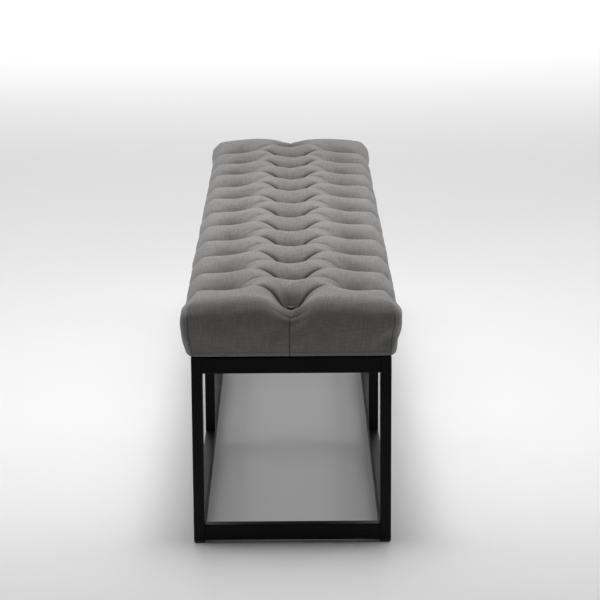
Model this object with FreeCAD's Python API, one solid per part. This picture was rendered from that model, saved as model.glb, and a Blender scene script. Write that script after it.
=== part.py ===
import FreeCAD, Part
import math
import os

V = FreeCAD.Vector
X_AXIS = V(1, 0, 0)
Y_AXIS = V(0, 1, 0)
Z_AXIS = V(0, 0, 1)

# Long upholstered bench, millimetres. X runs along the seat, Y across it, Z up.
# The origin is on the floor, below the middle of the bench.

# Seat outside
SEAT_LENGTH = 1800.0
SEAT_WIDTH = 400.0
CUSHION_HEIGHT = 110.0
SHOULDER_RADIUS = 32.0
SIDE_TUCK = 7.0
END_EDGE_RADIUS = 20.0
CORNER_RADIUS = 15.0

# Diamond tufting: a middle row and a row on either side, half a pitch apart
TUFT_PITCH = 150.0
TUFT_ROW_OFFSET = 117.0
TUFT_END_MARGIN = 75.0
TUFT_DEPTH = 38.0
TUFT_FLOOR_RADIUS = 8.5
FOLD_DEPTH = 15.0
FOLD_HALF_WIDTH = 1.0
END_FOLD_DEPTH = 12.0
PLEAT_DROP = 8.0
PLEAT_SIDE_TUCK = 4.0
PUFF_STEEPNESS = 0.6
PUFF_END_ANGLE = 24.0
PLEAT_END_ANGLE = 10.0

# Seat layers
COVER_THICKNESS = 2.0
WADDING_THICKNESS = 6.0
WADDING_LIP = 1.0
SOFT_CLEARANCE = 0.3
COVER_TURN_UNDER = 60.0
BOARD_THICKNESS = 15.0
DUST_COVER_THICKNESS = 0.5

# Tufting hardware
BUTTON_RADIUS = 8.0
BUTTON_HEIGHT = 5.0
BUTTON_EDGE_RADIUS = 2.5
TIE_DIAMETER = 2.0
TIE_HOLE_DIAMETER = 2.6
TIE_WASHER_DIAMETER = 16.0
TIE_WASHER_THICKNESS = 1.0
TIE_TAIL = 0.3

# Cover staples
STAPLE_PITCH = 75.0
STAPLE_CROWN = 10.0
STAPLE_WIRE = 0.7
STAPLE_LEG = 8.0
STAPLE_INSET = 8.0
STAPLE_CLEARANCE = 0.05

# Frame
FRAME_HEIGHT = 350.0
END_OVERHANG = 5.0
SIDE_OVERHANG = 20.0
TUBE_WIDTH = 20.0
TUBE_HEIGHT = 30.0
TUBE_WALL = 1.5
TUBE_CORNER_RADIUS = 2.0
INNER_LEG_SETBACK = 600.0

# Feet
GLIDE_HEIGHT = 5.0
GLIDE_EDGE_RADIUS = 3.0
GLIDE_STEM_LENGTH = 16.0
GLIDE_STEM_CLEARANCE = 0.15

# Seat fixings
TAB_LENGTH = 40.0
TAB_REACH = 25.0
TAB_THICKNESS = 3.0
TAB_CORNER_RADIUS = 5.0
TAB_SETBACK = 155.0
TAB_FROM_INNER_LEG = 100.0
BOLT_DIAMETER = 6.0
BOLT_HOLE_DIAMETER = 7.0
BOLT_HEAD_FLATS = 10.0
BOLT_HEAD_HEIGHT = 4.0
BOLT_REACH = 14.0
WASHER_DIAMETER = 12.0
WASHER_THICKNESS = 1.6
WASHER_HOLE_DIAMETER = 6.4
TEE_NUT_BARREL_DIAMETER = 7.8
TEE_NUT_BARREL_LENGTH = 10.0
TEE_NUT_FLANGE_DIAMETER = 19.0
TEE_NUT_FLANGE_THICKNESS = 1.5
TEE_NUT_BORE_DIAMETER = 6.2
TEE_NUT_CLEARANCE = 0.1

FRAME_LENGTH = SEAT_LENGTH - 2 * END_OVERHANG
FRAME_WIDTH = SEAT_WIDTH - 2 * SIDE_OVERHANG
SEAT_TOP = FRAME_HEIGHT + CUSHION_HEIGHT
BOARD_BOTTOM = FRAME_HEIGHT + COVER_THICKNESS
BOARD_TOP = BOARD_BOTTOM + BOARD_THICKNESS
RAIL_INSIDE = FRAME_WIDTH / 2 - TUBE_WIDTH
LEG_INSIDE = FRAME_LENGTH / 2 - TUBE_HEIGHT
CUTTER_MARGIN = 5.0

WADDING_INSET = COVER_THICKNESS + SOFT_CLEARANCE
FOAM_INSET = WADDING_INSET + WADDING_THICKNESS + SOFT_CLEARANCE

EVEN_GAPS = int((SEAT_LENGTH - 2 * TUFT_END_MARGIN) // TUFT_PITCH)
FIRST_TUFT = -EVEN_GAPS * TUFT_PITCH / 2
MIDDLE_TUFTS = [FIRST_TUFT + i * TUFT_PITCH for i in range(EVEN_GAPS + 1)]
SIDE_TUFTS = [x + TUFT_PITCH / 2 for x in MIDDLE_TUFTS[:-1]]
TUFTS = [(x, 0.0) for x in MIDDLE_TUFTS]
TUFTS += [(x, side * TUFT_ROW_OFFSET) for side in (-1, 1) for x in SIDE_TUFTS]
TUFT_FLOOR = SEAT_TOP - TUFT_DEPTH

BOARD_LENGTH = SEAT_LENGTH - 2 * FOAM_INSET
BOARD_WIDTH = SEAT_WIDTH - 2 * (FOAM_INSET + SIDE_TUCK + PLEAT_SIDE_TUCK)

INNER_LEG_X = FRAME_LENGTH / 2 - INNER_LEG_SETBACK - TUBE_HEIGHT / 2
TAB_PLACES = [FRAME_LENGTH / 2 - TAB_SETBACK, INNER_LEG_X - TAB_FROM_INNER_LEG]
TAB_PLACES += [-x for x in TAB_PLACES]
BOLT_Y = RAIL_INSIDE - TAB_REACH / 2
BOLTS = [(x, side * BOLT_Y) for side in (-1, 1) for x in TAB_PLACES]


def box(x0, x1, y0, y1, z0, z1):
    return Part.makeBox(x1 - x0, y1 - y0, z1 - z0, V(x0, y0, z0))


def centred_box(length, width, z0, z1):
    return box(-length / 2, length / 2, -width / 2, width / 2, z0, z1)


def cylinder(diameter, x, y, z0, z1):
    return Part.makeCylinder(diameter / 2, z1 - z0, V(x, y, z0), Z_AXIS)


def export(node, shapes):
    shape = shapes[0] if len(shapes) == 1 else Part.makeCompound(shapes)
    shape.exportStep("parts/" + node + ".step")


# Seat form

def smooth_fall(distance, radius):
    """How far a rounded edge has dropped at a distance in from the face."""
    if distance >= radius:
        return 0.0
    return radius - math.sqrt(radius ** 2 - (radius - distance) ** 2)


def puff_radius(width, depth, end_angle):
    """Radius of the arc that rises by depth to its crest, then falls at end_angle after width."""
    slope = math.sin(end_angle)
    half = width * slope + depth
    root = math.sqrt(2 * width * slope * depth + (depth * math.cos(end_angle)) ** 2)
    return (half - root) / slope ** 2


def tuft_profile(x):
    """Fold offset from the middle line, floor depth, floor half width and pleat strength at x."""
    reach = abs(x)
    last_tuft = MIDDLE_TUFTS[-1]
    if reach > last_tuft + TUFT_FLOOR_RADIUS:
        end_run = (reach - last_tuft - TUFT_FLOOR_RADIUS) / (SEAT_LENGTH / 2 - last_tuft - TUFT_FLOOR_RADIUS)
        left = (1 - min(end_run, 1.0)) ** 2
        depth = END_FOLD_DEPTH + (TUFT_DEPTH - END_FOLD_DEPTH) * left
        half_width = FOLD_HALF_WIDTH + (TUFT_FLOOR_RADIUS - FOLD_HALF_WIDTH) * left ** 2
        return 0.0, depth, half_width, 0.0
    away = min(abs(x - tuft) for tuft in MIDDLE_TUFTS)
    fold_length = TUFT_PITCH / 2 - 2 * TUFT_FLOOR_RADIUS
    run = min(max((away - TUFT_FLOOR_RADIUS) / fold_length, 0.0), 1.0)
    nearness = abs(2 * run - 1)
    depth = FOLD_DEPTH + (TUFT_DEPTH - FOLD_DEPTH) * nearness ** 2
    half_width = FOLD_HALF_WIDTH + (TUFT_FLOOR_RADIUS - FOLD_HALF_WIDTH) * nearness ** 4
    pleat = (away / (TUFT_PITCH / 2)) ** 4 if reach < last_tuft else 0.0
    return TUFT_ROW_OFFSET * run, depth, half_width, pleat


def seat_section(x, inset, base):
    """Closed section of the seat at x, drawn in by inset on every outside face."""
    fold, depth, half_width, pleat = tuft_profile(x)
    from_end = max(SEAT_LENGTH / 2 - inset - abs(x), 0.0)
    top = SEAT_TOP - inset - smooth_fall(from_end, END_EDGE_RADIUS - inset)
    floor = top - depth
    crest = top - PLEAT_DROP * pleat
    radius = SHOULDER_RADIUS - inset
    draw_in = smooth_fall(from_end, CORNER_RADIUS - inset) + PLEAT_SIDE_TUCK * pleat
    widest_y = SEAT_WIDTH / 2 - inset - draw_in
    lean = math.radians(PUFF_END_ANGLE + (PLEAT_END_ANGLE - PUFF_END_ANGLE) * pleat)
    inner = max(fold - half_width, FOLD_HALF_WIDTH / 2)
    outer = fold + half_width
    crown = min(depth, PUFF_STEEPNESS * inner)

    end_y = widest_y - radius + radius * math.sin(lean)
    puff = puff_radius(end_y - outer, crest - floor, lean)
    centre_y = end_y - puff * math.sin(lean)
    centre_z = crest - puff
    end_z = centre_z + puff * math.cos(lean)
    widest_z = end_z - radius * math.cos(lean)
    middle = (lean + math.atan2(outer - centre_y, floor - centre_z)) / 2
    puff_mid = V(x, centre_y + puff * math.sin(middle), centre_z + puff * math.cos(middle))
    bend = (math.pi / 2 + lean) / 2
    shoulder_mid = V(x, widest_y - radius * (1 - math.sin(bend)), widest_z + radius * math.cos(bend))
    side_height = widest_z - base
    side_radius = (side_height ** 2 + SIDE_TUCK ** 2) / (2 * SIDE_TUCK)
    side_bend = math.asin(side_height / side_radius) / 2
    side_fall = side_radius * math.sin(side_bend)
    side_mid = V(x, widest_y - side_radius * (1 - math.cos(side_bend)), widest_z - side_fall)

    fold_in = V(x, inner, floor)
    fold_out = V(x, outer, floor)
    puff_end = V(x, end_y, end_z)
    widest = V(x, widest_y, widest_z)
    foot = V(x, widest_y - SIDE_TUCK, base)

    def mirrored(point):
        return V(point.x, -point.y, point.z)

    right = [(fold_in, fold_out), (fold_out, puff_mid, puff_end)]
    right += [(puff_end, shoulder_mid, widest), (widest, side_mid, foot)]
    left = [[mirrored(point) for point in reversed(run)] for run in reversed(right)]
    runs = [(mirrored(fold_in), V(x, 0, floor + crown), fold_in)] + right
    runs += [(foot, mirrored(foot))] + left
    edges = [(Part.Arc(*run) if len(run) == 3 else Part.LineSegment(*run)).toShape() for run in runs]
    return Part.Wire(edges)


def station_list(inset):
    """Places along one half of the seat where the form is drawn, from the middle to the end."""
    end = SEAT_LENGTH / 2 - inset
    fold_length = TUFT_PITCH / 2 - 2 * TUFT_FLOOR_RADIUS
    offsets = [TUFT_FLOOR_RADIUS]
    offsets += [TUFT_FLOOR_RADIUS + fold_length * k / 4 for k in (1, 2, 3)]
    offsets += [TUFT_PITCH / 2 - TUFT_FLOOR_RADIUS, TUFT_PITCH / 2]
    last_tuft = MIDDLE_TUFTS[-1]
    places = {0.0}
    for tuft in MIDDLE_TUFTS:
        for offset in offsets:
            for place in (tuft - offset, tuft + offset):
                if 0 < place <= last_tuft:
                    places.add(round(place, 6))
    edge = END_EDGE_RADIUS - inset
    edge_start = end - edge
    floor_end = last_tuft + TUFT_FLOOR_RADIUS
    places.add(floor_end)
    for k in (1, 2, 3):
        places.add(floor_end + (edge_start - floor_end) * k / 4)
    for k in range(5):
        places.add(end - edge * (1 - math.cos(math.radians(k * 22.5))))
    return sorted(places)


def seat_form(inset, base):
    half = station_list(inset)
    stations = [-x for x in reversed(half[1:])] + half
    sections = [seat_section(x, inset, base) for x in stations]
    return Part.makeLoft(sections, True, True)


def hollow_form(inset, base, thickness, floor):
    """Form with an inner form of the given thickness as a closed void above a floor."""
    outside = seat_form(inset, base)
    inside = seat_form(inset + thickness, base + floor)
    return Part.makeSolid(Part.makeCompound([outside.Shells[0], inside.Shells[0].reversed()]))


def tie_holes(z0, z1):
    return [cylinder(TIE_HOLE_DIAMETER, x, y, z0, z1) for x, y in TUFTS]


def seat_cover():
    """Sewn cover: skin over the form, turned under the board all round."""
    skin = hollow_form(0.0, FRAME_HEIGHT, COVER_THICKNESS, COVER_THICKNESS)
    open_length = SEAT_LENGTH - 2 * COVER_TURN_UNDER
    open_width = SEAT_WIDTH - 2 * COVER_TURN_UNDER
    below = FRAME_HEIGHT - CUTTER_MARGIN
    cutters = [centred_box(open_length, open_width, below, BOARD_BOTTOM + CUTTER_MARGIN)]
    cutters += tie_holes(BOARD_TOP, SEAT_TOP)
    cutters += [cylinder(BOLT_HOLE_DIAMETER, x, y, below, BOARD_TOP) for x, y in BOLTS]
    return skin.cut(cutters + staple_cutters())


def seat_wadding():
    """Wadding over the foam and down the edges of the board, turned in a little at the bottom."""
    skin = hollow_form(WADDING_INSET, BOARD_BOTTOM, WADDING_THICKNESS, WADDING_LIP)
    open_length = BOARD_LENGTH + 2 * SOFT_CLEARANCE
    open_width = BOARD_WIDTH + 2 * SOFT_CLEARANCE
    opening = centred_box(open_length, open_width, FRAME_HEIGHT, BOARD_TOP)
    return skin.cut([opening] + tie_holes(BOARD_TOP, SEAT_TOP))


def seat_foam():
    """Foam block on the board, shaped by the tufts."""
    return seat_form(FOAM_INSET, BOARD_TOP).cut(tie_holes(FRAME_HEIGHT, SEAT_TOP))


def seat_board():
    """Plywood board with holes for the ties, the tee nuts and the staples."""
    board = centred_box(BOARD_LENGTH, BOARD_WIDTH, BOARD_BOTTOM, BOARD_TOP)
    uprights = [edge for edge in board.Edges if abs(edge.tangentAt(edge.FirstParameter).z) > 0.5]
    board = board.makeFillet(CORNER_RADIUS, uprights)
    cutters = tie_holes(BOARD_BOTTOM - CUTTER_MARGIN, BOARD_TOP + CUTTER_MARGIN)
    barrel = TEE_NUT_BARREL_DIAMETER + 2 * TEE_NUT_CLEARANCE
    flange = TEE_NUT_FLANGE_DIAMETER + 2 * TEE_NUT_CLEARANCE
    for x, y in BOLTS:
        cutters.append(cylinder(barrel, x, y, BOARD_BOTTOM - CUTTER_MARGIN, BOARD_TOP))
        recess = BOARD_TOP - TEE_NUT_FLANGE_THICKNESS
        cutters.append(cylinder(flange, x, y, recess, BOARD_TOP + CUTTER_MARGIN))
    return board.cut(cutters + staple_cutters())


def tuft_button(x, y):
    """Covered button that sits on the floor of a tuft."""
    body = cylinder(2 * BUTTON_RADIUS, x, y, TUFT_FLOOR, TUFT_FLOOR + BUTTON_HEIGHT)
    rim = [edge for edge in body.Edges if abs(edge.CenterOfMass.z - TUFT_FLOOR - BUTTON_HEIGHT) < 1e-6]
    return body.makeFillet(BUTTON_EDGE_RADIUS, rim)


def tie_washer(x, y):
    disc = cylinder(TIE_WASHER_DIAMETER, x, y, BOARD_BOTTOM - TIE_WASHER_THICKNESS, BOARD_BOTTOM)
    return disc.cut(cylinder(TIE_HOLE_DIAMETER, x, y, FRAME_HEIGHT, BOARD_TOP))


def tuft_tie(x, y):
    """Twine from the button down through the seat to its washer, with a short tail below."""
    return cylinder(TIE_DIAMETER, x, y, BOARD_BOTTOM - TIE_WASHER_THICKNESS - TIE_TAIL, TUFT_FLOOR)


def dust_cover():
    """Thin black cloth inside the turned-under edge of the cover."""
    length = SEAT_LENGTH - 2 * COVER_TURN_UNDER - 2 * SOFT_CLEARANCE
    width = SEAT_WIDTH - 2 * COVER_TURN_UNDER - 2 * SOFT_CLEARANCE
    return centred_box(length, width, FRAME_HEIGHT, FRAME_HEIGHT + DUST_COVER_THICKNESS)


# Staples

def staple_places():
    """Middle and direction of each staple along the turned-under edge."""
    side_y = BOARD_WIDTH / 2 - STAPLE_INSET
    end_x = BOARD_LENGTH / 2 - STAPLE_INSET
    along = int((BOARD_LENGTH - 2 * STAPLE_PITCH) // STAPLE_PITCH)
    across = int((BOARD_WIDTH - 2 * STAPLE_PITCH) // STAPLE_PITCH)
    places = []
    for side in (-1, 1):
        places += [((k - along / 2) * STAPLE_PITCH, side * side_y, X_AXIS) for k in range(along + 1)]
        places += [(side * end_x, (k - across / 2) * STAPLE_PITCH, Y_AXIS) for k in range(across + 1)]
    return places


def staple(x, y, direction, clearance):
    """Staple driven up through the cover into the board, or its hole with a clearance."""
    half = STAPLE_CROWN / 2 + clearance
    wire = STAPLE_WIRE / 2 + clearance
    inner = half - 2 * wire
    z0 = FRAME_HEIGHT - clearance
    z1 = FRAME_HEIGHT + STAPLE_WIRE + clearance
    z2 = FRAME_HEIGHT + STAPLE_LEG + clearance
    outline = [(-half, z0), (half, z0), (half, z2), (inner, z2)]
    outline += [(inner, z1), (-inner, z1), (-inner, z2), (-half, z2)]
    points = [V(across, -wire, z) for across, z in outline + outline[:1]]
    shape = Part.Face(Part.makePolygon(points)).extrude(V(0, 2 * wire, 0))
    if direction == Y_AXIS:
        shape.rotate(V(0, 0, 0), Z_AXIS, 90)
    shape.translate(V(x, y, 0))
    return shape


def staple_cutters():
    return [staple(x, y, direction, STAPLE_CLEARANCE) for x, y, direction in staple_places()]


# Frame

def tube(length):
    """Rectangular tube along X from the origin, TUBE_WIDTH across Y and TUBE_HEIGHT up Z."""
    outer = box(0, length, -TUBE_WIDTH / 2, TUBE_WIDTH / 2, -TUBE_HEIGHT / 2, TUBE_HEIGHT / 2)
    long_edges = [edge for edge in outer.Edges if abs(edge.tangentAt(edge.FirstParameter).x) > 0.5]
    outer = outer.makeFillet(TUBE_CORNER_RADIUS, long_edges)
    bore_y = TUBE_WIDTH / 2 - TUBE_WALL
    bore_z = TUBE_HEIGHT / 2 - TUBE_WALL
    return outer.cut(box(-CUTTER_MARGIN, length + CUTTER_MARGIN, -bore_y, bore_y, -bore_z, bore_z))


def leg(x, y, z0, z1):
    shape = tube(z1 - z0)
    shape.rotate(V(0, 0, 0), Y_AXIS, -90)
    shape.translate(V(x, y, z0))
    return shape


def long_rail(y, z):
    shape = tube(2 * LEG_INSIDE)
    shape.translate(V(-LEG_INSIDE, y, z))
    return shape


def cross_rail(x, z):
    shape = tube(2 * RAIL_INSIDE)
    shape.rotate(V(0, 0, 0), Z_AXIS, 90)
    shape.translate(V(x, -RAIL_INSIDE, z))
    return shape


def seat_tab(x, side):
    """Flat tab welded inside the top rail, with a hole for the seat bolt."""
    wall = side * RAIL_INSIDE
    tip = side * (RAIL_INSIDE - TAB_REACH)
    z0 = FRAME_HEIGHT - TAB_THICKNESS
    plate = box(x - TAB_LENGTH / 2, x + TAB_LENGTH / 2, min(wall, tip), max(wall, tip), z0, FRAME_HEIGHT)
    corners = [edge for edge in plate.Edges if abs(edge.CenterOfMass.z - z0 - TAB_THICKNESS / 2) < 1e-6]
    corners = [edge for edge in corners if abs(edge.CenterOfMass.y - tip) < 1e-6]
    plate = plate.makeFillet(TAB_CORNER_RADIUS, corners)
    hole = cylinder(BOLT_HOLE_DIAMETER, x, side * BOLT_Y, z0 - CUTTER_MARGIN, FRAME_HEIGHT + CUTTER_MARGIN)
    return plate.cut(hole)


def seat_washer(x, y):
    z1 = FRAME_HEIGHT - TAB_THICKNESS
    disc = cylinder(WASHER_DIAMETER, x, y, z1 - WASHER_THICKNESS, z1)
    return disc.cut(cylinder(WASHER_HOLE_DIAMETER, x, y, z1 - CUTTER_MARGIN, z1 + CUTTER_MARGIN))


def seat_bolt(x, y):
    """Hexagon head bolt up through the tab into the tee nut."""
    seat = FRAME_HEIGHT - TAB_THICKNESS - WASHER_THICKNESS
    radius = BOLT_HEAD_FLATS / math.sqrt(3)
    points = [V(x + radius * math.cos(math.radians(60 * k)), y + radius * math.sin(math.radians(60 * k)),
                seat - BOLT_HEAD_HEIGHT) for k in range(7)]
    head = Part.Face(Part.makePolygon(points)).extrude(V(0, 0, BOLT_HEAD_HEIGHT))
    return head.fuse(cylinder(BOLT_DIAMETER, x, y, seat, FRAME_HEIGHT + BOLT_REACH))


def tee_nut(x, y):
    """Tee nut pressed into the board from above, its flange flush with the top."""
    flange_z = BOARD_TOP - TEE_NUT_FLANGE_THICKNESS
    flange = cylinder(TEE_NUT_FLANGE_DIAMETER, x, y, flange_z, BOARD_TOP)
    barrel = cylinder(TEE_NUT_BARREL_DIAMETER, x, y, flange_z - TEE_NUT_BARREL_LENGTH, flange_z)
    bore = cylinder(TEE_NUT_BORE_DIAMETER, x, y, FRAME_HEIGHT, BOARD_TOP + CUTTER_MARGIN)
    return flange.fuse(barrel).cut(bore)


def foot_glide(x, y):
    """Plastic foot as wide as the leg, rounded below, with a stem up inside the tube."""
    shift = V(x, y, 0)
    foot = centred_box(TUBE_HEIGHT, TUBE_WIDTH, 0, GLIDE_HEIGHT)
    uprights = [edge for edge in foot.Edges if abs(edge.tangentAt(edge.FirstParameter).z) > 0.5]
    foot = foot.makeFillet(TUBE_CORNER_RADIUS, uprights)
    rim = [edge for edge in foot.Edges if abs(edge.CenterOfMass.z) < 1e-6]
    foot = foot.makeFillet(GLIDE_EDGE_RADIUS, rim)
    stem_gap = 2 * (TUBE_WALL + GLIDE_STEM_CLEARANCE)
    stem_top = GLIDE_HEIGHT + GLIDE_STEM_LENGTH
    stem = centred_box(TUBE_HEIGHT - stem_gap, TUBE_WIDTH - stem_gap, GLIDE_HEIGHT, stem_top)
    shape = foot.fuse(stem)
    shape.translate(shift)
    return shape


os.makedirs("parts", exist_ok=True)

export("seat_cover", [seat_cover()])
export("seat_wadding", [seat_wadding()])
export("seat_foam", [seat_foam()])
export("seat_board", [seat_board()])
export("tuft_buttons", [tuft_button(x, y) for x, y in TUFTS])
export("tuft_ties", [tuft_tie(x, y) for x, y in TUFTS])
export("tuft_tie_washers", [tie_washer(x, y) for x, y in TUFTS])
export("dust_cover", [dust_cover()])
export("cover_staples", [staple(x, y, direction, 0.0) for x, y, direction in staple_places()])
export("seat_mounting_tabs", [seat_tab(x, side) for side in (-1, 1) for x in TAB_PLACES])
export("seat_bolts", [seat_bolt(x, y) for x, y in BOLTS])
export("seat_bolt_washers", [seat_washer(x, y) for x, y in BOLTS])
export("seat_tee_nuts", [tee_nut(x, y) for x, y in BOLTS])

TOP_RAIL_Z = FRAME_HEIGHT - TUBE_HEIGHT / 2
FLOOR_RAIL_Z = GLIDE_HEIGHT + TUBE_HEIGHT / 2
SIDE_Y = FRAME_WIDTH / 2 - TUBE_WIDTH / 2
CORNER_LEG_X = FRAME_LENGTH / 2 - TUBE_HEIGHT / 2
END_RAIL_X = FRAME_LENGTH / 2 - TUBE_WIDTH / 2

for side_name, side in (("front", -1), ("rear", 1)):
    export(side_name + "_top_rail", [long_rail(side * SIDE_Y, TOP_RAIL_Z)])
    export(side_name + "_floor_rail", [long_rail(side * SIDE_Y, FLOOR_RAIL_Z)])
    for end_name, end in (("left", -1), ("right", 1)):
        corner = side_name + "_" + end_name
        export(corner + "_corner_leg", [leg(end * CORNER_LEG_X, side * SIDE_Y, GLIDE_HEIGHT, FRAME_HEIGHT)])
        inner_bottom = GLIDE_HEIGHT + TUBE_HEIGHT
        inner_top = FRAME_HEIGHT - TUBE_HEIGHT
        export(corner + "_inner_leg", [leg(end * INNER_LEG_X, side * SIDE_Y, inner_bottom, inner_top)])
        export(corner + "_foot_glide", [foot_glide(end * CORNER_LEG_X, side * SIDE_Y)])

for end_name, end in (("left", -1), ("right", 1)):
    export(end_name + "_end_top_rail", [cross_rail(end * END_RAIL_X, TOP_RAIL_Z)])
    export(end_name + "_end_floor_rail", [cross_rail(end * END_RAIL_X, FLOOR_RAIL_Z)])
    export(end_name + "_inner_cross_rail", [cross_rail(end * INNER_LEG_X, TOP_RAIL_Z)])
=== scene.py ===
import math

import bmesh
import bpy
import numpy as np
from mathutils import Matrix, Vector


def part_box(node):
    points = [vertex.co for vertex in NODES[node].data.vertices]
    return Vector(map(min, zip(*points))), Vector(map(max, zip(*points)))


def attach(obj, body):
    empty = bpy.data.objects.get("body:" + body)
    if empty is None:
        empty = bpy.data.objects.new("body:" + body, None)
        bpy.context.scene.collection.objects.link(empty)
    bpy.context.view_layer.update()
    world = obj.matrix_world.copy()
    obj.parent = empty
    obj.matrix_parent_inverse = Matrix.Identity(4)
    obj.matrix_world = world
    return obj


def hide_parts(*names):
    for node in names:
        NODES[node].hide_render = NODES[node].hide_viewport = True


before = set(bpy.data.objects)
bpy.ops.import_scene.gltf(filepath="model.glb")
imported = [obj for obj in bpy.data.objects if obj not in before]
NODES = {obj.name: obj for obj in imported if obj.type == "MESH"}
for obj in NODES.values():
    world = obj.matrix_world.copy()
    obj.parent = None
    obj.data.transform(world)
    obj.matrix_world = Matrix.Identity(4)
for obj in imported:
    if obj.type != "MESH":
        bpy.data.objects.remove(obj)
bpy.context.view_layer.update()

# Seat sizes in metres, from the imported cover
COVER_LOW, COVER_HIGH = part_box("seat_cover")
HALF_LENGTH = COVER_HIGH.x
SIDE_EASE = 0.003   # the sides swell out by about this much
HALF_WIDTH = COVER_HIGH.y - SIDE_EASE
SEAT_TOP = COVER_HIGH.z
SEAT_BOTTOM = COVER_LOW.z + 0.0006
TURN_UNDER = 0.060
RIM_RISE = 0.008    # the turned-under rim ends this far up, inside the board
CORNER_ROUND, TOP_ROUND, BOTTOM_ROUND = 0.017, 0.030, 0.007

# Tufts: a middle row and two side rows set half a pitch along
HALF_PITCH = 0.075
ROW = 0.117
LAST_MIDDLE_TUFT = 0.825
MIDDLE_TUFTS = [-LAST_MIDDLE_TUFT + 2 * HALF_PITCH * i for i in range(12)]
SIDE_TUFTS = [x + HALF_PITCH for x in MIDDLE_TUFTS[:-1]]
TUFTS = [(x, 0.0) for x in MIDDLE_TUFTS] + [(x, side * ROW) for side in (-1, 1) for x in SIDE_TUFTS]
TUFT_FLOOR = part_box("tuft_buttons")[0].z
TUFT_DEPTH = SEAT_TOP - TUFT_FLOOR

# Folds join each middle tuft to the side tufts beside it, pleats run from side tufts to the edge
FOLDS = [((MIDDLE_TUFTS[i + step], 0.0), (x, side * ROW))
         for side in (-1, 1) for i, x in enumerate(SIDE_TUFTS) for step in (0, 1)]
PLEATS = [((x, side * ROW), (x, side * (HALF_WIDTH + 0.12))) for side in (-1, 1) for x in SIDE_TUFTS]
END_PLEATS = [((side * LAST_MIDDLE_TUFT, 0.0), (side * (HALF_LENGTH + 0.12), 0.0)) for side in (-1, 1)]
END_PLEAT_DEPTHS = (0.0030, 0.0215)     # far end, near end
FOLD_TURN = 0.0028                      # how far the folds swing aside into an S
CORNER_SEAM, CENTRE_SEAM = 0.184, -0.003
HEM_DROP = 0.1005                       # the hem's place below the top edge, round the cloth

# Swelling of the cover in the cloth simulation
SWELL_PRESSURE = 4
SWELL_FRAMES = 20
MOST_SWELL = 0.006


class Finish:
    """A material and short ways to add nodes to it."""

    def __init__(self, name):
        self.material = bpy.data.materials.new(name)
        self.material.use_nodes = True
        self.tree = self.material.node_tree
        self.shader = self.tree.nodes["Principled BSDF"]
        self.place = self.tree.nodes.new("ShaderNodeTexCoord").outputs["Object"]

    def node(self, kind, **settings):
        made = self.tree.nodes.new(kind)
        for name, value in settings.items():
            setattr(made, name, value)
        return made

    def feed(self, socket, value):
        if isinstance(value, bpy.types.NodeSocket):
            self.tree.links.new(value, socket)
        else:
            socket.default_value = value

    def sum(self, operation, *values):
        made = self.node("ShaderNodeMath", operation=operation)
        for socket, value in zip(made.inputs, values):
            self.feed(socket, value)
        return made.outputs[0]

    def stretch(self, vector, scale):
        made = self.node("ShaderNodeMapping")
        self.feed(made.inputs["Vector"], vector)
        made.inputs["Scale"].default_value = scale
        return made.outputs["Vector"]

    def noise(self, vector, scale, detail=2.0, roughness=0.5):
        made = self.node("ShaderNodeTexNoise")
        self.feed(made.inputs["Vector"], vector)
        made.inputs["Scale"].default_value = scale
        made.inputs["Detail"].default_value = detail
        made.inputs["Roughness"].default_value = roughness
        return made.outputs["Fac"]

    def span(self, value, low, high, to_low=0.0, to_high=1.0):
        made = self.node("ShaderNodeMapRange", interpolation_type="SMOOTHSTEP")
        for name, number in (("Value", value), ("From Min", low), ("From Max", high),
                             ("To Min", to_low), ("To Max", to_high)):
            self.feed(made.inputs[name], number)
        return made.outputs["Result"]

    def blend(self, amount, first, second, kind="MIX"):
        made = self.node("ShaderNodeMix", data_type="RGBA", blend_type=kind)
        self.feed(made.inputs["Factor"], amount)
        for name, value in (("A", first), ("B", second)):
            socket = [s for s in made.inputs if s.name == name and s.type == "RGBA"][0]
            self.feed(socket, value if isinstance(value, bpy.types.NodeSocket) else (*value, 1.0))
        return [s for s in made.outputs if s.type == "RGBA"][0]

    def bump(self, height, distance, strength=1.0, under=None):
        made = self.node("ShaderNodeBump")
        self.feed(made.inputs["Height"], height)
        made.inputs["Distance"].default_value = distance
        made.inputs["Strength"].default_value = strength
        if under is not None:
            self.feed(made.inputs["Normal"], under)
        return made.outputs["Normal"]

    def set(self, **sockets):
        for name, value in sockets.items():
            self.feed(self.shader.inputs[name.replace("_", " ")], value)


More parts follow.
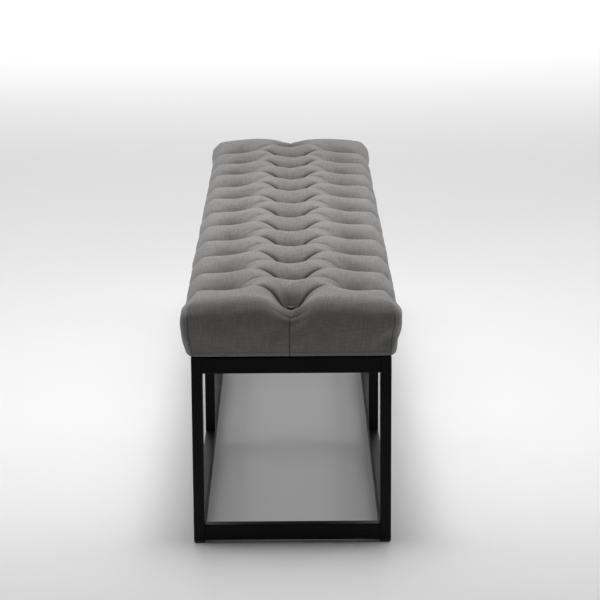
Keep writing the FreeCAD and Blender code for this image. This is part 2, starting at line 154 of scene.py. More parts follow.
def linen_finish(name, follows_uv):
    """Mid grey linen: uneven yarns both ways, a soft sheen; on the cover its seams and painted shade in its
    seams, folds and tufts; on the buttons painted shade all over.
    """
    finish = Finish(name)
    if follows_uv:
        flat = finish.node("ShaderNodeUVMap", uv_map="cloth").outputs["UV"]
    else:
        flat = finish.place
    split = finish.node("ShaderNodeSeparateXYZ")
    finish.feed(split.inputs[0], flat)
    along, across = split.outputs[0], split.outputs[1]
    wander = finish.noise(flat, 60, 2.0)
    warp = finish.sum("SINE", finish.sum("ADD", finish.sum("MULTIPLY", along, 5200.0),
                                         finish.sum("MULTIPLY", wander, 9.0)))
    weft = finish.sum("SINE", finish.sum("ADD", finish.sum("MULTIPLY", across, 5200.0),
                                         finish.sum("MULTIPLY", wander, 7.0)))
    weave = finish.sum("MULTIPLY", warp, weft)
    slub_along = finish.noise(finish.stretch(flat, (28, 620, 1)), 1.0, 3.0, 0.6)
    slub_across = finish.noise(finish.stretch(flat, (620, 28, 1)), 1.0, 3.0, 0.6)
    fine_along = finish.noise(finish.stretch(flat, (130, 2100, 1)), 1.0, 1.0)
    fine_across = finish.noise(finish.stretch(flat, (2100, 130, 1)), 1.0, 1.0)
    yarns = finish.sum("ADD", finish.sum("ADD", slub_along, slub_across),
                       finish.sum("MULTIPLY", finish.sum("ADD", fine_along, fine_across), 0.7))
    tone = finish.span(yarns, 1.25, 2.15)
    patch = finish.noise(flat, 9, 3.0, 0.6)
    grey = finish.blend(tone, (0.154, 0.148, 0.142), (0.288, 0.279, 0.269))
    grey = finish.blend(finish.span(patch, 0.3, 0.7, 0.0, 0.22), grey, (0.196, 0.189, 0.182))
    # Painted shade: away from the cover's UV map (on the buttons and other cover_fabric parts) the linen is
    # darkened all over, as the shade at the bottom of the tufts.
    if not follows_uv:
        grey = finish.blend(0.75, grey, (0.060, 0.057, 0.055))
    height = finish.sum("ADD", finish.sum("MULTIPLY", weave, 0.22),
                        finish.sum("MULTIPLY", yarns, 0.5))
    if follows_uv:
        # Painted shade: the cloth is darkened where it lies tucked in the tufts and folds.
        painted_fold_shade = finish.node("ShaderNodeAttribute", attribute_name="painted_fold_shade").outputs["Fac"]
        grey = finish.blend(finish.sum("MULTIPLY", painted_fold_shade, 0.86), grey, (0.030, 0.028, 0.027))
        depth, grey = cover_seams(finish, along, across, grey)
        height = finish.sum("SUBTRACT", height, depth)
    finish.set(Base_Color=grey, Roughness=0.92, Normal=finish.bump(height, 0.00035, 0.8),
               Sheen_Weight=0.10, Sheen_Roughness=0.5, Specular_IOR_Level=0.25)
    return finish.material


def cover_seams(finish, along, across, grey):
    """Corner seams and the centre pleat on both ends, and the hem crease round the foot, as bump grooves
    darkened with painted shade.
    """
    out_end = finish.sum("SUBTRACT", finish.sum("ABSOLUTE", along), HALF_LENGTH)
    out_side = finish.sum("SUBTRACT", finish.sum("ABSOLUTE", across), HALF_WIDTH)
    on_end = finish.span(out_end, 0.016, 0.030)
    corner = finish.sum("ABSOLUTE", finish.sum("SUBTRACT", finish.sum("ABSOLUTE", across),
                                               CORNER_SEAM))
    seam = finish.sum("MULTIPLY", finish.span(corner, 0.0004, 0.0016, 1.0, 0.0), on_end)
    beside = finish.sum("MULTIPLY", finish.span(corner, 0.0015, 0.0060, 1.0, 0.0), on_end)
    stitch = finish.sum("SINE", finish.sum("MULTIPLY", along, 1800.0))
    pucker = finish.sum("MULTIPLY", beside, finish.sum("MULTIPLY", stitch, 0.35))
    centre = finish.sum("ABSOLUTE", finish.sum("SUBTRACT", across, CENTRE_SEAM))
    on_face = finish.span(out_end, 0.0, 0.012)
    pleat = finish.sum("MULTIPLY", finish.span(centre, 0.0004, 0.0017, 1.0, 0.0), on_face)
    low = finish.sum("MAXIMUM", out_end, out_side)
    from_hem = finish.sum("ABSOLUTE", finish.sum("SUBTRACT", low, HEM_DROP))
    hem = finish.sum("MULTIPLY", finish.span(from_hem, 0.0002, 0.0013, 1.0, 0.0), 0.35)
    seam_grooves_and_shade = finish.sum("MAXIMUM", seam, finish.sum("MAXIMUM", pleat, hem))
    # Painted shade along the seams, the centre pleat and the hem crease, on top of their grooves.
    grey = finish.blend(finish.sum("MULTIPLY", seam_grooves_and_shade, 0.7), grey, (0.045, 0.042, 0.040))
    depth = finish.sum("ADD", finish.sum("MULTIPLY", seam_grooves_and_shade, 2.6), finish.sum("MULTIPLY", pucker, 1.0))
    return depth, grey


def powder_coat_finish():
    """Matt black powder coat with a fine orange-peel surface and paler patches on its upward faces."""
    finish = Finish("matt_black_powder_coat")
    peel = finish.noise(finish.place, 1500, 2.0)
    flow = finish.noise(finish.place, 260, 2.0)
    cloud = finish.noise(finish.place, 14, 4.0, 0.6)
    black = finish.blend(cloud, (0.0022, 0.0022, 0.0024), (0.0044, 0.0043, 0.0044))
    face = finish.node("ShaderNodeSeparateXYZ")
    finish.feed(face.inputs[0], finish.node("ShaderNodeNewGeometry").outputs["Normal"])
    # Upward faces get paler patches.
    paler_on_top = finish.sum("MULTIPLY", finish.span(face.outputs[2], 0.6, 0.95),
                       finish.span(cloud, 0.35, 0.75))
    black = finish.blend(finish.sum("MULTIPLY", paler_on_top, 0.10), black, (0.12, 0.117, 0.113))
    height = finish.sum("ADD", finish.sum("MULTIPLY", peel, 0.6), flow)
    finish.set(Base_Color=black, Roughness=finish.span(cloud, 0.2, 0.8, 0.40, 0.52),
               Normal=finish.bump(height, 0.00012, 0.5), Specular_IOR_Level=0.15)
    return finish.material


def glide_finish():
    """Moulded black polyethylene, finely grained, scuffed where it meets the floor."""
    finish = Finish("moulded_glide_black")
    grain = finish.noise(finish.place, 1900, 2.0)
    scuff = finish.noise(finish.stretch(finish.place, (90, 900, 90)), 1.0, 3.0, 0.7)
    height = finish.node("ShaderNodeSeparateXYZ")
    finish.feed(height.inputs[0], finish.place)
    worn = finish.sum("MULTIPLY", finish.span(height.outputs[2], 0.0, 0.003, 1.0, 0.0),
                      finish.span(scuff, 0.5, 0.7))
    black = finish.blend(worn, (0.012, 0.012, 0.013), (0.055, 0.053, 0.051))
    finish.set(Base_Color=black, Roughness=finish.span(grain, 0.3, 0.7, 0.42, 0.60),
               Normal=finish.bump(grain, 0.0001, 0.5))
    return finish.material


def zinc_finish():
    """Bright zinc plate with faint cloudy passivation and fine turning marks."""
    finish = Finish("bright_zinc_plate")
    cloud = finish.noise(finish.place, 180, 3.0, 0.6)
    fine = finish.noise(finish.stretch(finish.place, (900, 900, 6000)), 1.0, 2.0)
    tint = finish.blend(cloud, (0.56, 0.57, 0.58), (0.70, 0.69, 0.64))
    finish.set(Base_Color=tint, Metallic=1.0, Roughness=finish.span(cloud, 0.2, 0.8, 0.26, 0.42),
               Normal=finish.bump(fine, 0.00005, 0.4))
    return finish.material


def plywood_finish():
    """Birch plywood: long grain on the faces, dark and pale plies on the edges."""
    finish = Finish("birch_plywood")
    grain = finish.noise(finish.stretch(finish.place, (7, 190, 190)), 1.0, 5.0, 0.65)
    pore = finish.noise(finish.stretch(finish.place, (60, 1800, 1800)), 1.0, 2.0)
    height = finish.node("ShaderNodeSeparateXYZ")
    finish.feed(height.inputs[0], finish.place)
    ply = finish.sum("SINE", finish.sum("MULTIPLY", height.outputs[2], 2 * math.pi / 0.003))
    face = finish.node("ShaderNodeSeparateXYZ")
    finish.feed(face.inputs[0], finish.node("ShaderNodeNewGeometry").outputs["Normal"])
    edge = finish.span(finish.sum("ABSOLUTE", face.outputs[2]), 0.3, 0.7, 1.0, 0.0)
    wood = finish.blend(finish.span(grain, 0.3, 0.7), (0.50, 0.345, 0.205), (0.66, 0.495, 0.325))
    dark_ply = finish.sum("MULTIPLY", edge, finish.span(ply, -0.3, 0.5))
    wood = finish.blend(dark_ply, wood, (0.30, 0.185, 0.10))
    finish.set(Base_Color=wood, Roughness=0.68, Normal=finish.bump(pore, 0.0002, 0.5))
    return finish.material


def dust_cover_finish():
    """Thin black non-woven cloth with its grid of bonding points."""
    finish = Finish("black_nonwoven")
    split = finish.node("ShaderNodeSeparateXYZ")
    finish.feed(split.inputs[0], finish.place)
    grid = [finish.sum("SINE", finish.sum("MULTIPLY", axis, 3900.0)) for axis in split.outputs[:2]]
    dots = finish.sum("MULTIPLY", *grid)
    fibre = finish.noise(finish.place, 900, 5.0, 0.8)
    sag = finish.noise(finish.place, 7, 3.0)
    black = finish.blend(fibre, (0.012, 0.012, 0.013), (0.045, 0.045, 0.047))
    black = finish.blend(finish.span(dots, 0.55, 0.8, 0.0, 0.7), black, (0.006, 0.006, 0.006))
    height = finish.sum("ADD", finish.sum("SUBTRACT", fibre, finish.span(dots, 0.5, 0.8)),
                        finish.sum("MULTIPLY", sag, 18.0))
    finish.set(Base_Color=black, Roughness=0.9, Normal=finish.bump(height, 0.00025, 0.6))
    return finish.material


def filling_finish(name, dark, light, cell, fibrous):
    """Open foam or fibre wadding in the given colours."""
    finish = Finish(name)
    if fibrous:
        fluff = finish.noise(finish.stretch(finish.place, (260, 700, 700)), 1.0, 6.0, 0.75)
    else:
        cells = finish.node("ShaderNodeTexVoronoi")
        finish.feed(cells.inputs["Vector"], finish.place)
        cells.inputs["Scale"].default_value = cell
        fluff = cells.outputs["Distance"]
    cloud = finish.noise(finish.place, 25, 3.0)
    mottle = finish.sum("ADD", fluff, finish.sum("MULTIPLY", cloud, 0.4))
    colour = finish.blend(finish.span(mottle, 0.2, 1.1), dark, light)
    finish.set(Base_Color=colour, Roughness=0.95, Normal=finish.bump(fluff, 0.0006, 0.7))
    return finish.material


def twine_finish():
    """Pale waxed twine, three plies laid round its length."""
    finish = Finish("waxed_twine")
    split = finish.node("ShaderNodeSeparateXYZ")
    finish.feed(split.inputs[0], finish.place)
    turn = finish.sum("ADD", finish.sum("ADD", split.outputs[0], split.outputs[1]),
                      finish.sum("MULTIPLY", split.outputs[2], 0.6))
    ply = finish.sum("SINE", finish.sum("MULTIPLY", turn, 4200.0))
    fuzz = finish.noise(finish.place, 2400, 4.0, 0.7)
    colour = finish.blend(finish.span(ply, -0.8, 0.6), (0.36, 0.30, 0.21), (0.70, 0.63, 0.50))
    height = finish.sum("ADD", ply, finish.sum("MULTIPLY", fuzz, 0.6))
    finish.set(Base_Color=colour, Roughness=0.8, Normal=finish.bump(height, 0.0002, 0.7))
    return finish.material


def smooth_step(amount):
    amount = np.clip(amount, 0, 1)
    return amount * amount * (3 - 2 * amount)


def segment_distance(flat, segment):
    """Distance of each point from a segment, and how far along it the nearest place is."""
    start, end = np.array(segment[0]), np.array(segment[1])
    run = end - start
    along = np.clip(((flat - start) @ run) / (run @ run), 0, 1)
    return np.linalg.norm(flat - start - along[:, None] * run, axis=1), along


def soft_waves(flat, seed, count, shortest, longest):
    """Gentle random waves over the seat, about -1 to 1."""
    random = np.random.default_rng(seed)
    total = np.zeros(len(flat))
    for _ in range(count):
        length = shortest * (longest / shortest) ** random.random()
        heading = random.random() * 2 * math.pi
        phase = random.random() * 2 * math.pi
        travel = flat @ np.array([math.cos(heading), math.sin(heading)])
        total += np.sin(travel * 2 * math.pi / length + phase)
    return total / math.sqrt(count)


def cloth_sink(flat, crisp):
    """How far the tufting pulls the cover below its crown at each flat point, and the creases' share."""
    creases = []
    for segment in FOLDS:
        away, along = segment_distance(flat, segment)
        by_middle = 1 - smooth_step(along / 0.62)
        by_side = smooth_step((along - 0.70) / 0.30)
        sharp = 0.0018 + 0.0105 * by_middle + 0.0030 * by_side
        wide = 0.0034 + 0.0030 * by_middle
        creases.append(crisp * sharp * np.exp(-away / 0.0042) + wide * np.exp(-away / 0.019))
    for segment in PLEATS:
        away, along = segment_distance(flat, segment)
        fade = 1 - 0.40 * smooth_step(along * 1.2)
        creases.append(fade * (0.0035 * crisp * np.exp(-away / 0.005)
                               + 0.0115 * np.exp(-(away / 0.030) ** 1.2)))
    for segment, deep in zip(END_PLEATS, END_PLEAT_DEPTHS):
        away, along = segment_distance(flat, segment)
        creases.append(0.0020 * crisp * np.exp(-away / 0.005)
                       + deep * np.exp(-(away / 0.031) ** 2.2))
    crease = np.sum(np.array(creases) ** 6, axis=0) ** (1 / 6)
    near = np.min([np.linalg.norm(flat - np.array(tuft), axis=1) for tuft in TUFTS], axis=0)
    well = 0.0300 * np.exp(-(np.maximum(near - 0.004, 0) / 0.029) ** 1.25)
    sink = crease + well
    floor = np.exp(-(near / 0.0105) ** 4)
    crown = 0.013 * (np.minimum(np.abs(flat[:, 1]), HALF_WIDTH) / HALF_WIDTH) ** 2.6
    crown += 0.003 * smooth_step((np.abs(flat[:, 0]) - LAST_MIDDLE_TUFT) / HALF_PITCH)
    inside = smooth_step((LAST_MIDDLE_TUFT + 0.04 - np.abs(flat[:, 0])) / 0.04)
    trough = 0.0050 * np.exp(-(flat[:, 1] / 0.027) ** 2) * inside
    trough += 0.0026 * np.exp(-((np.abs(flat[:, 1]) - ROW) / 0.024) ** 2) * inside
    sink = sink + crown + trough - 0.0022
    sink += (TUFT_DEPTH + 0.0004 - sink) * floor
    return sink, crease


def painted_fold_shade_share(points, sink):
    """How much painted shade each point of the cover gets for lying tucked away in a tuft or fold, 0 to 1."""
    flat = points[:, :2]
    height = np.clip((points[:, 2] - SEAT_BOTTOM) / (SEAT_TOP - SEAT_BOTTOM), 0, 1)
    near = np.min([np.linalg.norm(flat - np.array(tuft), axis=1) for tuft in TUFTS], axis=0)
    share = 0.92 * np.exp(-(np.maximum(near - 0.009, 0) / 0.020) ** 1.5)
    for segment in FOLDS:
        away, along = segment_distance(flat, segment)
        by_middle = 1 - smooth_step((along - 0.25) / 0.45)
        by_side = smooth_step((along - 0.78) / 0.22)
        line = np.exp(-(away / 0.0042) ** 1.5) + 0.40 * np.exp(-(away / 0.013) ** 1.5)
        share = np.maximum(share, (0.10 + 0.88 * by_middle + 0.40 * by_side) * np.minimum(line, 1))
    for segment in PLEATS + END_PLEATS:
        away, along = segment_distance(flat, segment)
        fade = 0.40 * (1 - 0.7 * smooth_step(along * 1.6))
        share = np.maximum(share, fade * np.exp(-(away / 0.0035) ** 1.3))
    valley = 0.50 * smooth_step((sink - 0.007) / 0.022)
    return np.maximum(share, valley) * smooth_step((height - 0.45) / 0.45)


def tuft_puckers(flat):
    """Small gathers that run out from each tuft, different at every one."""
    random = np.random.default_rng(23)
    total = np.zeros(len(flat))
    for index, tuft in enumerate(TUFTS):
        offset = flat - np.array(tuft)
        radius = np.hypot(offset[:, 0], offset[:, 1])
        near = radius < 0.06
        angle = np.arctan2(offset[near, 1], offset[near, 0])
        reach = radius[near]
        gathers = np.zeros(near.sum())
        for _ in range(7):
            heading = random.random() * 2 * math.pi
            depth = 0.0006 + 0.0014 * random.random()
            width = 0.0016 + 0.0016 * random.random()
            ahead = reach * np.cos(angle - heading)
            aside = reach * np.sin(angle - heading)
            length = 0.010 + 0.012 * random.random()
            gathers += (depth * np.exp(-(aside / width) ** 2)
                        * np.exp(-((ahead - 0.017) / length) ** 2))
        if tuft[1] == 0:
            for heading in (0, math.pi):
                ahead = reach * np.cos(angle - heading)
                aside = reach * np.sin(angle - heading)
                gathers += (0.0022 * np.exp(-(aside / 0.0024) ** 2)
                            * np.exp(-((ahead - 0.018) / 0.013) ** 2))
        total[near] += gathers
    return total


def round_edges(points, corner, top, bottom):
    """Points of the sharp seat block moved onto one with rounded corners and edges."""
    half = np.array([HALF_LENGTH, HALF_WIDTH])
    moved = points.copy()
    flat = np.clip(points[:, :2], -half, half)
    side = np.sign(flat)
    over = np.maximum(np.abs(flat) - (half - corner), 0)
    longest = over.max(axis=1)
    length = np.maximum(np.hypot(over[:, 0], over[:, 1]), 1e-9)
    both = (over > 0).all(axis=1)
    shrunk = over * np.where(both, longest / length, 1.0)[:, None]
    rounded = np.where(over > 0, side * (half - corner + shrunk), flat)
    gap = half - np.abs(flat)
    nearer = np.where((gap[:, 0] < gap[:, 1])[:, None], [1.0, 0.0], [0.0, 1.0]) * side
    outward = np.where(both[:, None], side * over / length[:, None], nearer)
    from_edge = np.where(both, corner - longest, gap.min(axis=1))
    for radius, edge, way in ((top, SEAT_TOP, 1), (bottom, SEAT_BOTTOM, -1)):
        out = np.maximum(radius - from_edge, 0)
        up = np.maximum(way * (points[:, 2] - edge) + radius, 0)
        up = np.minimum(up, radius)
        turned = (out > 0) & (up > 0)
        pull = np.where(turned, 1 - np.maximum(out, up) / np.maximum(np.hypot(out, up), 1e-9), 0)
        rounded = rounded - outward * (out * pull)[:, None]
        moved[:, 2] -= way * up * pull
    moved[:, :2] = rounded
    return moved


def shape_seat(points, inset=0.0, crisp=1.0):
    """The crowned, tufted seat that the sharp block's points are moved onto."""
    flat = points[:, :2]
    height = np.clip((points[:, 2] - SEAT_BOTTOM) / (SEAT_TOP - SEAT_BOTTOM), 0, 1)
    sink, crease = cloth_sink(flat, crisp)
    shaped = round_edges(points, CORNER_ROUND, TOP_ROUND, BOTTOM_ROUND)
    raised = smooth_step((height - 0.40) / 0.60)
    shaped[:, 2] -= sink * raised
    if crisp:
        shaped[:, 2] -= tuft_puckers(flat) * raised
    shaped[:, 2] += (0.0012 * soft_waves(flat, 5, 14, 0.05, 0.22) * raised
                     * (1 - np.exp(-(sink / 0.03) ** 2) * 0.2))
    side = np.sign(flat[:, 1]) * smooth_step((np.abs(flat[:, 1]) - HALF_WIDTH + 0.045) / 0.045)
    end = np.sign(flat[:, 0]) * smooth_step((np.abs(flat[:, 0]) - HALF_LENGTH + 0.045) / 0.045)
    low = np.clip((0.60 - height) / 0.60, 0, 1)
    drawn = crease * smooth_step((height - 0.15) / 0.75) * (1 - smooth_step((height - 0.9) / 0.1) * 0.5)
    round_sides = np.stack([flat.sum(axis=1), points[:, 2]], axis=1)
    ripple = 0.0009 * soft_waves(round_sides, 9, 10, 0.04, 0.16)
    ripple *= smooth_step(height / 0.3) * smooth_step((1 - height) / 0.2)
    between_ends = smooth_step((LAST_MIDDLE_TUFT + 0.035 - np.abs(flat[:, 0])) / 0.05)
    drawn_in = 0.0075 * between_ends * smooth_step((height - 0.2) / 0.5)
    shaped[:, 1] -= side * (0.0095 * low ** 1.7 + 0.40 * drawn + drawn_in - ripple)
    shaped[:, 0] -= end * (0.0035 * low ** 1.7 + 0.22 * drawn - ripple)
    off_middle = np.abs(flat[:, 1])
    turn = FOLD_TURN * np.sin(2 * math.pi * off_middle / ROW) * (off_middle < ROW)
    turn = (turn * np.sin(math.pi * (flat[:, 0] - LAST_MIDDLE_TUFT) / HALF_PITCH)
            * (np.abs(flat[:, 0]) < LAST_MIDDLE_TUFT))
    shaped[:, 0] += turn * raised
    if inset:
        centre = np.array([0, 0, SEAT_BOTTOM])
        shrink = 1 - inset / np.array([HALF_LENGTH, HALF_WIDTH, SEAT_TOP - SEAT_BOTTOM])
        shaped = centre + (shaped - centre) * shrink
        near = np.min([np.linalg.norm(flat - np.array(tuft), axis=1) for tuft in TUFTS], axis=0)
        at_tufts = 0.0065 * np.exp(-(near / 0.032) ** 2)
        shaped[:, 2] -= (inset * 0.4 + at_tufts + 0.5 * crease) * raised
    return shaped


def get_points(mesh):
    points = np.empty(len(mesh.vertices) * 3)
    mesh.vertices.foreach_get("co", points)
    return points.reshape(-1, 3)


def set_points(mesh, points):
    mesh.vertices.foreach_set("co", np.ascontiguousarray(points).ravel())
    mesh.update()


def put_in_scene(name, mesh):
    piece = bpy.data.objects.new(name, mesh)
    bpy.context.scene.collection.objects.link(piece)
    return piece


def open_edges(shape):
    return [edge for edge in shape.edges if len(edge.link_faces) == 1]


def pull_out(shape, matrix):
    """Draws the open rim on by one row and moves the new rim with the matrix."""
    made = bmesh.ops.extrude_edge_only(shape, edges=open_edges(shape))["geom"]
    rim = [part for part in made if isinstance(part, bmesh.types.BMVert)]
    bmesh.ops.transform(shape, matrix=matrix, verts=rim)


def put_in_order(shape):
    """Sorts points, edges and faces by place, so that every run gives the same mesh."""
    def rank(place):
        return round(place.x, 5) * 1e10 + round(place.y, 5) * 1e5 + place.z

    shape.verts.sort(key=lambda vertex: rank(vertex.co))
    shape.edges.sort(key=lambda edge: rank((edge.verts[0].co + edge.verts[1].co) / 2))
    shape.faces.sort(key=lambda face: rank(face.calc_center_median()))


def sharp_block(cells, rows, turned_under):
    """Sharp block as large as the seat, whose grid meets the folds corner to corner."""
    along = round(HALF_LENGTH / (HALF_PITCH / cells))
    outer = round((HALF_WIDTH - ROW) / (ROW / cells))
    across = cells + outer
    shape = bmesh.new()
    bmesh.ops.create_grid(shape, x_segments=2 * along, y_segments=2 * across, size=1.0,
                          matrix=(Matrix.Translation((0, 0, SEAT_TOP))
                                  @ Matrix.Diagonal((HALF_LENGTH, 1, 1, 1))))
    for vertex in shape.verts:
        line = abs(vertex.co.y) * across
        inner = line * ROW / cells
        beyond = ROW + (line - cells) * (HALF_WIDTH - ROW) / outer
        vertex.co.y = math.copysign(inner if line <= cells else beyond, vertex.co.y)
    for _ in range(rows):
        pull_out(shape, Matrix.Translation((0, 0, (SEAT_BOTTOM - SEAT_TOP) / rows)))
    steps = 5
    done = 0.0
    for _ in range(steps):
        more = done + turned_under / steps
        pull_out(shape, Matrix.Diagonal(((HALF_LENGTH - more) / (HALF_LENGTH - done),
                                         (HALF_WIDTH - more) / (HALF_WIDTH - done), 1, 1)))
        done = more
    pull_out(shape, Matrix.Translation((0, 0, RIM_RISE)))
    bmesh.ops.recalc_face_normals(shape, faces=shape.faces)
    put_in_order(shape)
    mesh = bpy.data.meshes.new("sharp_block")
    shape.to_mesh(mesh)
    shape.free()
    return mesh


def close_rim(mesh):
    """Closes the turned-under rim, inside the board, so that the shell is one closed form."""
    shape = bmesh.new()
    shape.from_mesh(mesh)
    bmesh.ops.edgeloop_fill(shape, edges=open_edges(shape))
    bmesh.ops.recalc_face_normals(shape, faces=shape.faces)
    shape.to_mesh(mesh)
    shape.free()


def divided(mesh, kind, levels=2):
    """A copy of the mesh, subdivided simply or smoothly."""
    piece = put_in_scene("divided", mesh)
    modifier = piece.modifiers.new("divide", "SUBSURF")
    modifier.subdivision_type = kind
    modifier.levels = modifier.render_levels = levels
    made = bpy.data.meshes.new_from_object(piece.evaluated_get(bpy.context.evaluated_depsgraph_get()))
    bpy.data.objects.remove(piece)
    return made


def split_along_folds(mesh):
    """Cells that a fold crosses are split corner to corner along it, so the crease stays crisp."""
    shape = bmesh.new()
    shape.from_mesh(mesh)
    tops = [face for face in shape.faces if face.normal.z > 0.9 and len(face.verts) == 4]
    centres = np.array([face.calc_center_median()[:2] for face in tops])
    nearest = np.full(len(tops), 1e3)
    slope = np.zeros(len(tops))
    for segment in FOLDS:
        away, _ = segment_distance(centres, segment)
        closer = away < nearest
        slope[closer] = np.sign((segment[1][0] - segment[0][0]) * (segment[1][1] - segment[0][1]))
        nearest[closer] = away[closer]
    for face, way, away in zip(tops, slope, nearest):
        if away < 0.010:
            corners = sorted(face.verts, key=lambda v: v.co.x * way + v.co.y)
            bmesh.utils.face_split(face, corners[0], corners[-1])
    shape.to_mesh(mesh)
    shape.free()


def swell(mesh, held):
    """Blows the cover up for a moment as cloth held at the tufts and foot; gives each point's move."""
    piece = put_in_scene("swelling_cover", mesh)
    start = get_points(mesh)
    group = piece.vertex_groups.new(name="held")
    group.add([int(i) for i in np.nonzero(held)[0]], 1.0, "REPLACE")
    cloth = piece.modifiers.new("cloth", "CLOTH")
    cloth.settings.vertex_group_mass = "held"
    cloth.settings.use_pressure = True
    cloth.settings.uniform_pressure_force = SWELL_PRESSURE
    cloth.settings.effector_weights.gravity = 0
    cloth.settings.quality = 4
    cloth.settings.shrink_min = -0.012
    cloth.collision_settings.use_collision = False
    cloth.point_cache.frame_start = 1
    cloth.point_cache.frame_end = SWELL_FRAMES
    scene = bpy.context.scene
    for number in range(1, SWELL_FRAMES + 1):
        scene.frame_set(number)
    evaluated = piece.evaluated_get(bpy.context.evaluated_depsgraph_get())
    moved = get_points(evaluated.data) - start
    piece.modifiers.remove(cloth)
    scene.frame_set(1)
    bpy.data.objects.remove(piece)
    reach = np.linalg.norm(moved, axis=1)
    return moved * (np.minimum(reach, MOST_SWELL) / np.maximum(reach, 1e-9))[:, None]


def lay_out_cloth(mesh, flat):
    """UV map in metres: the cover unfolded, so its yarns run over the edges unbroken."""
    layer = mesh.uv_layers.new(name="cloth")
    count = len(mesh.loops)
    corner = np.empty(count, dtype=np.int32)
    mesh.loops.foreach_get("vertex_index", corner)
    totals = np.empty(len(mesh.polygons), dtype=np.int32)
    mesh.polygons.foreach_get("loop_total", totals)
    face = np.repeat(np.arange(len(totals)), totals)
    centre = np.zeros((len(totals), 3))
    for axis in range(3):
        centre[:, axis] = np.bincount(face, weights=flat[corner, axis]) / totals
    top = centre[:, 2] > SEAT_TOP - 1e-6
    under = centre[:, 2] < SEAT_BOTTOM + 1e-6
    end = np.abs(centre[:, 0]) > HALF_LENGTH - 1e-6
    side = np.abs(centre[:, 1]) > HALF_WIDTH - 1e-6
    place = flat[corner]
    drop = SEAT_TOP - place[:, 2]
    u, v = place[:, 0].copy(), place[:, 1].copy()
    sign = np.sign(centre[face])
    on_end = (end & ~top & ~under)[face]
    on_side = (side & ~top & ~under)[face]
    u[on_end] = (sign[:, 0] * (HALF_LENGTH + drop))[on_end]
    v[on_side] = (sign[:, 1] * (HALF_WIDTH + drop))[on_side]
    below = under[face]
    u[below] = u[below] + 3.0
    layer.data.foreach_set("uv", np.stack([u, v], axis=1).ravel())


def finish_piece(name, mesh, material, slot, *nodes):
    """Puts a finished mesh in the scene in place of the CAD nodes that it stands for."""
    mesh.materials.clear()
    mesh.materials.append(material)
    mesh.polygons.foreach_set("use_smooth", [True] * len(mesh.polygons))
    piece = put_in_scene(name, mesh)
    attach(piece, "root")
    if nodes:
        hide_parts(*nodes)
    return piece


def make_cover(material):
    """The tufted cover: its worked-out form, eased by the cloth simulation, with crisp folds."""
    block = sharp_block(cells=9, rows=9, turned_under=TURN_UNDER)
    sharp = get_points(block)
    fine = divided(block, "SIMPLE")
    split_along_folds(fine)
    flat = get_points(fine)
    points = shape_seat(flat)
    near = np.min([np.linalg.norm(sharp[:, :2] - np.array(tuft), axis=1) for tuft in TUFTS],
                  axis=0)
    held = ((near < 0.014) & (sharp[:, 2] > SEAT_TOP - 1e-6)) | (sharp[:, 2] < SEAT_BOTTOM + 0.014)
    plain = shape_seat(sharp, crisp=0.3)
    set_points(block, plain)
    before = divided(block.copy(), "CATMULL_CLARK")
    moved = swell(block, held)
    set_points(block, plain + moved)
    after = divided(block, "CATMULL_CLARK")
    points += get_points(after) - get_points(before)
    set_points(fine, points)
    lay_out_cloth(fine, flat)
    # Painted shade for the tufts and folds, stored as a point attribute for the cover's finish.
    painted_fold_shade = fine.attributes.new("painted_fold_shade", "FLOAT", "POINT")
    painted_fold_shade.data.foreach_set("value", painted_fold_shade_share(flat, cloth_sink(flat[:, :2], 0.0)[0]))
    close_rim(fine)
    cover = finish_piece("seat_cover_cloth", fine, material, "cover_fabric", "seat_cover")
    return cover


def make_filling(name, inset, bottom, material, slot, node):
    """Foam or wadding under the cover, with the same crown, folds and tufts."""
    block = sharp_block(cells=9, rows=5, turned_under=TURN_UNDER)
    split_along_folds(block)
    points = shape_seat(get_points(block), inset=inset, crisp=0.7)
    points[:, 2] = np.maximum(points[:, 2], bottom)
    set_points(block, points)
    close_rim(block)
    filling = finish_piece(name, block, material, slot, node)
    return filling


def make_buttons(material):
    """Covered buttons: a domed top, a rounded rim and a drawn-in underside, one at each tuft."""
    low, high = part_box("tuft_buttons")
    thick = high.z - low.z
    shape = bmesh.new()
    for x, y in TUFTS:
        middle = Matrix.Translation((x, y, low.z + thick * 0.43))
        made = bmesh.ops.create_cone(shape, cap_ends=True, segments=20, radius1=0.0066,
                                     radius2=0.0070, depth=thick * 0.86, matrix=middle)
        faces = {face for vertex in made["verts"] for face in vertex.link_faces}
        top = max(faces, key=lambda face: face.calc_center_median().z)
        bmesh.ops.inset_region(shape, faces=[top], thickness=0.0030, depth=0.0004)
        bmesh.ops.inset_region(shape, faces=[top], thickness=0.0026, depth=0.0003)
    rims = [edge for edge in shape.edges if edge.calc_face_angle(0) > 0.9]
    bmesh.ops.bevel(shape, geom=rims, offset=0.0013, segments=3, profile=0.5, affect="EDGES",
                    material=-1)
    bmesh.ops.recalc_face_normals(shape, faces=shape.faces)
    mesh = bpy.data.meshes.new("covered_buttons")
    shape.to_mesh(mesh)
    shape.free()
    return finish_piece("covered_tuft_buttons", mesh, material, "cover_fabric", "tuft_buttons")


def dress_nodes(finishes):
    """Gives every CAD node that stays the procedural finish of its slot."""
    for node in NODES.values():
        for place in node.material_slots:
            name = place.material.name.split(".")[0] if place.material else ""
            if name in finishes:
                place.material = finishes[name]


def make_floor():
    """Plain pale floor, wide enough that its edge is never in view."""
    finish = Finish("pale_floor")
    cloud = finish.noise(finish.place, 0.9, 3.0)
    finish.set(Base_Color=finish.blend(cloud, (0.755, 0.755, 0.760), (0.790, 0.790, 0.795)),
               Roughness=0.75, Specular_IOR_Level=0.2)
    shape = bmesh.new()
    bmesh.ops.create_grid(shape, x_segments=2, y_segments=2, size=60.0)
    mesh = bpy.data.meshes.new("floor")
    shape.to_mesh(mesh)
    shape.free()
    mesh.materials.append(finish.material)
    floor = put_in_scene("floor", mesh)


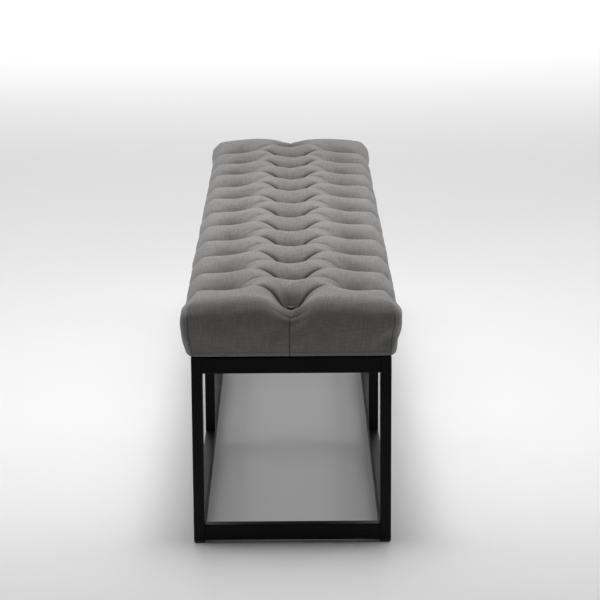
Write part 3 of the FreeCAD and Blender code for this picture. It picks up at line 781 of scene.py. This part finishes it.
def make_light(name, place, aim, size, power, spread=math.pi):
    data = bpy.data.lights.new(name, "AREA")
    data.shape = "RECTANGLE"
    data.size, data.size_y = size
    data.energy = power
    data.spread = spread
    lamp = bpy.data.objects.new(name, data)
    lamp.location = place
    lamp.rotation_euler = (Vector(aim) - Vector(place)).to_track_quat("-Z", "Y").to_euler()
    lamp.visible_camera = False
    bpy.context.scene.collection.objects.link(lamp)


def make_studio():
    """Soft light from above, both sides and behind, weak from the camera's side."""
    scene = bpy.context.scene
    scene.view_settings.view_transform = "Standard"
    scene.view_settings.look = "None"
    scene.world = bpy.data.worlds.new("studio")
    scene.world.use_nodes = True
    scene.world.node_tree.nodes["Background"].inputs["Color"].default_value = (0.97, 0.98, 1.0, 1)
    scene.world.node_tree.nodes["Background"].inputs["Strength"].default_value = 0.07
    make_floor()
    make_light("ceiling_bank", (-7.0, 0, 3.8), (-7.0, 0, 0), (15.0, 10.0), 385)
    make_light("overhead_softbox", (0.25, 0, 2.6), (0.25, 0, 0), (1.5, 0.9), 9, math.radians(80))
    make_light("rear_softbox", (-5.0, 0, 3.0), (0, 0, 0.3), (3.2, 1.4), 6, math.radians(60))
    make_light("backdrop_wash", (-9.5, 0, 4.5), (-9.5, 0, 0), (9.0, 14.0), 400, math.radians(140))
    for side in (-1, 1):
        make_light("side_softbox", (-0.4, side * 2.9, 1.0), (-0.2, 0, 0.10), (3.6, 1.3), 19, math.radians(110))


def place_camera():
    """Long lens at the photograph's height, looking down the bench from its right-hand end."""
    pitch, yaw, roll = 0.2327, 0.0032, -0.006
    forward = Vector((-math.cos(yaw) * math.cos(pitch), math.sin(yaw) * math.cos(pitch),
                      -math.sin(pitch)))
    right = Vector((math.sin(yaw), math.cos(yaw), 0))
    up = right.cross(forward)
    level = right * math.cos(roll) + up * math.sin(roll)
    upright = up * math.cos(roll) - right * math.sin(roll)
    data = bpy.data.cameras.new("photograph_view")
    data.sensor_width = 36
    data.lens = 133.4
    camera = bpy.data.objects.new("photograph_view", data)
    turn = Matrix((level, upright, -forward)).transposed().to_4x4()
    camera.matrix_world = Matrix.Translation((4.746, 0.0040, 1.368)) @ turn
    bpy.context.scene.collection.objects.link(camera)
    bpy.context.scene.camera = camera


LINEN = linen_finish("grey_linen_cover", True)
# The button linen is darkened all over as painted shade.
SHADED_BUTTON_LINEN = linen_finish("grey_linen_button_painted_shade", False)
FOAM = filling_finish("seat_foam_cream", (0.52, 0.47, 0.34), (0.78, 0.72, 0.55), 900, False)
WADDING = filling_finish("white_fibre_wadding", (0.60, 0.60, 0.59), (0.86, 0.86, 0.85), 0, True)

place_camera()
make_studio()
dress_nodes({
    "cover_fabric": SHADED_BUTTON_LINEN,
    "powder_coat": powder_coat_finish(),
    "glide_plastic": glide_finish(),
    "zinc_plated_steel": zinc_finish(),
    "plywood": plywood_finish(),
    "dust_cover": dust_cover_finish(),
    "twine": twine_finish(),
    "foam": FOAM,
    "wadding": WADDING,
})
make_cover(LINEN)
make_buttons(SHADED_BUTTON_LINEN)
make_filling("seat_wadding_layer", 0.0045, 0.3525, WADDING, "wadding", "seat_wadding")
make_filling("seat_foam_block", 0.0115, 0.3675, FOAM, "foam", "seat_foam")
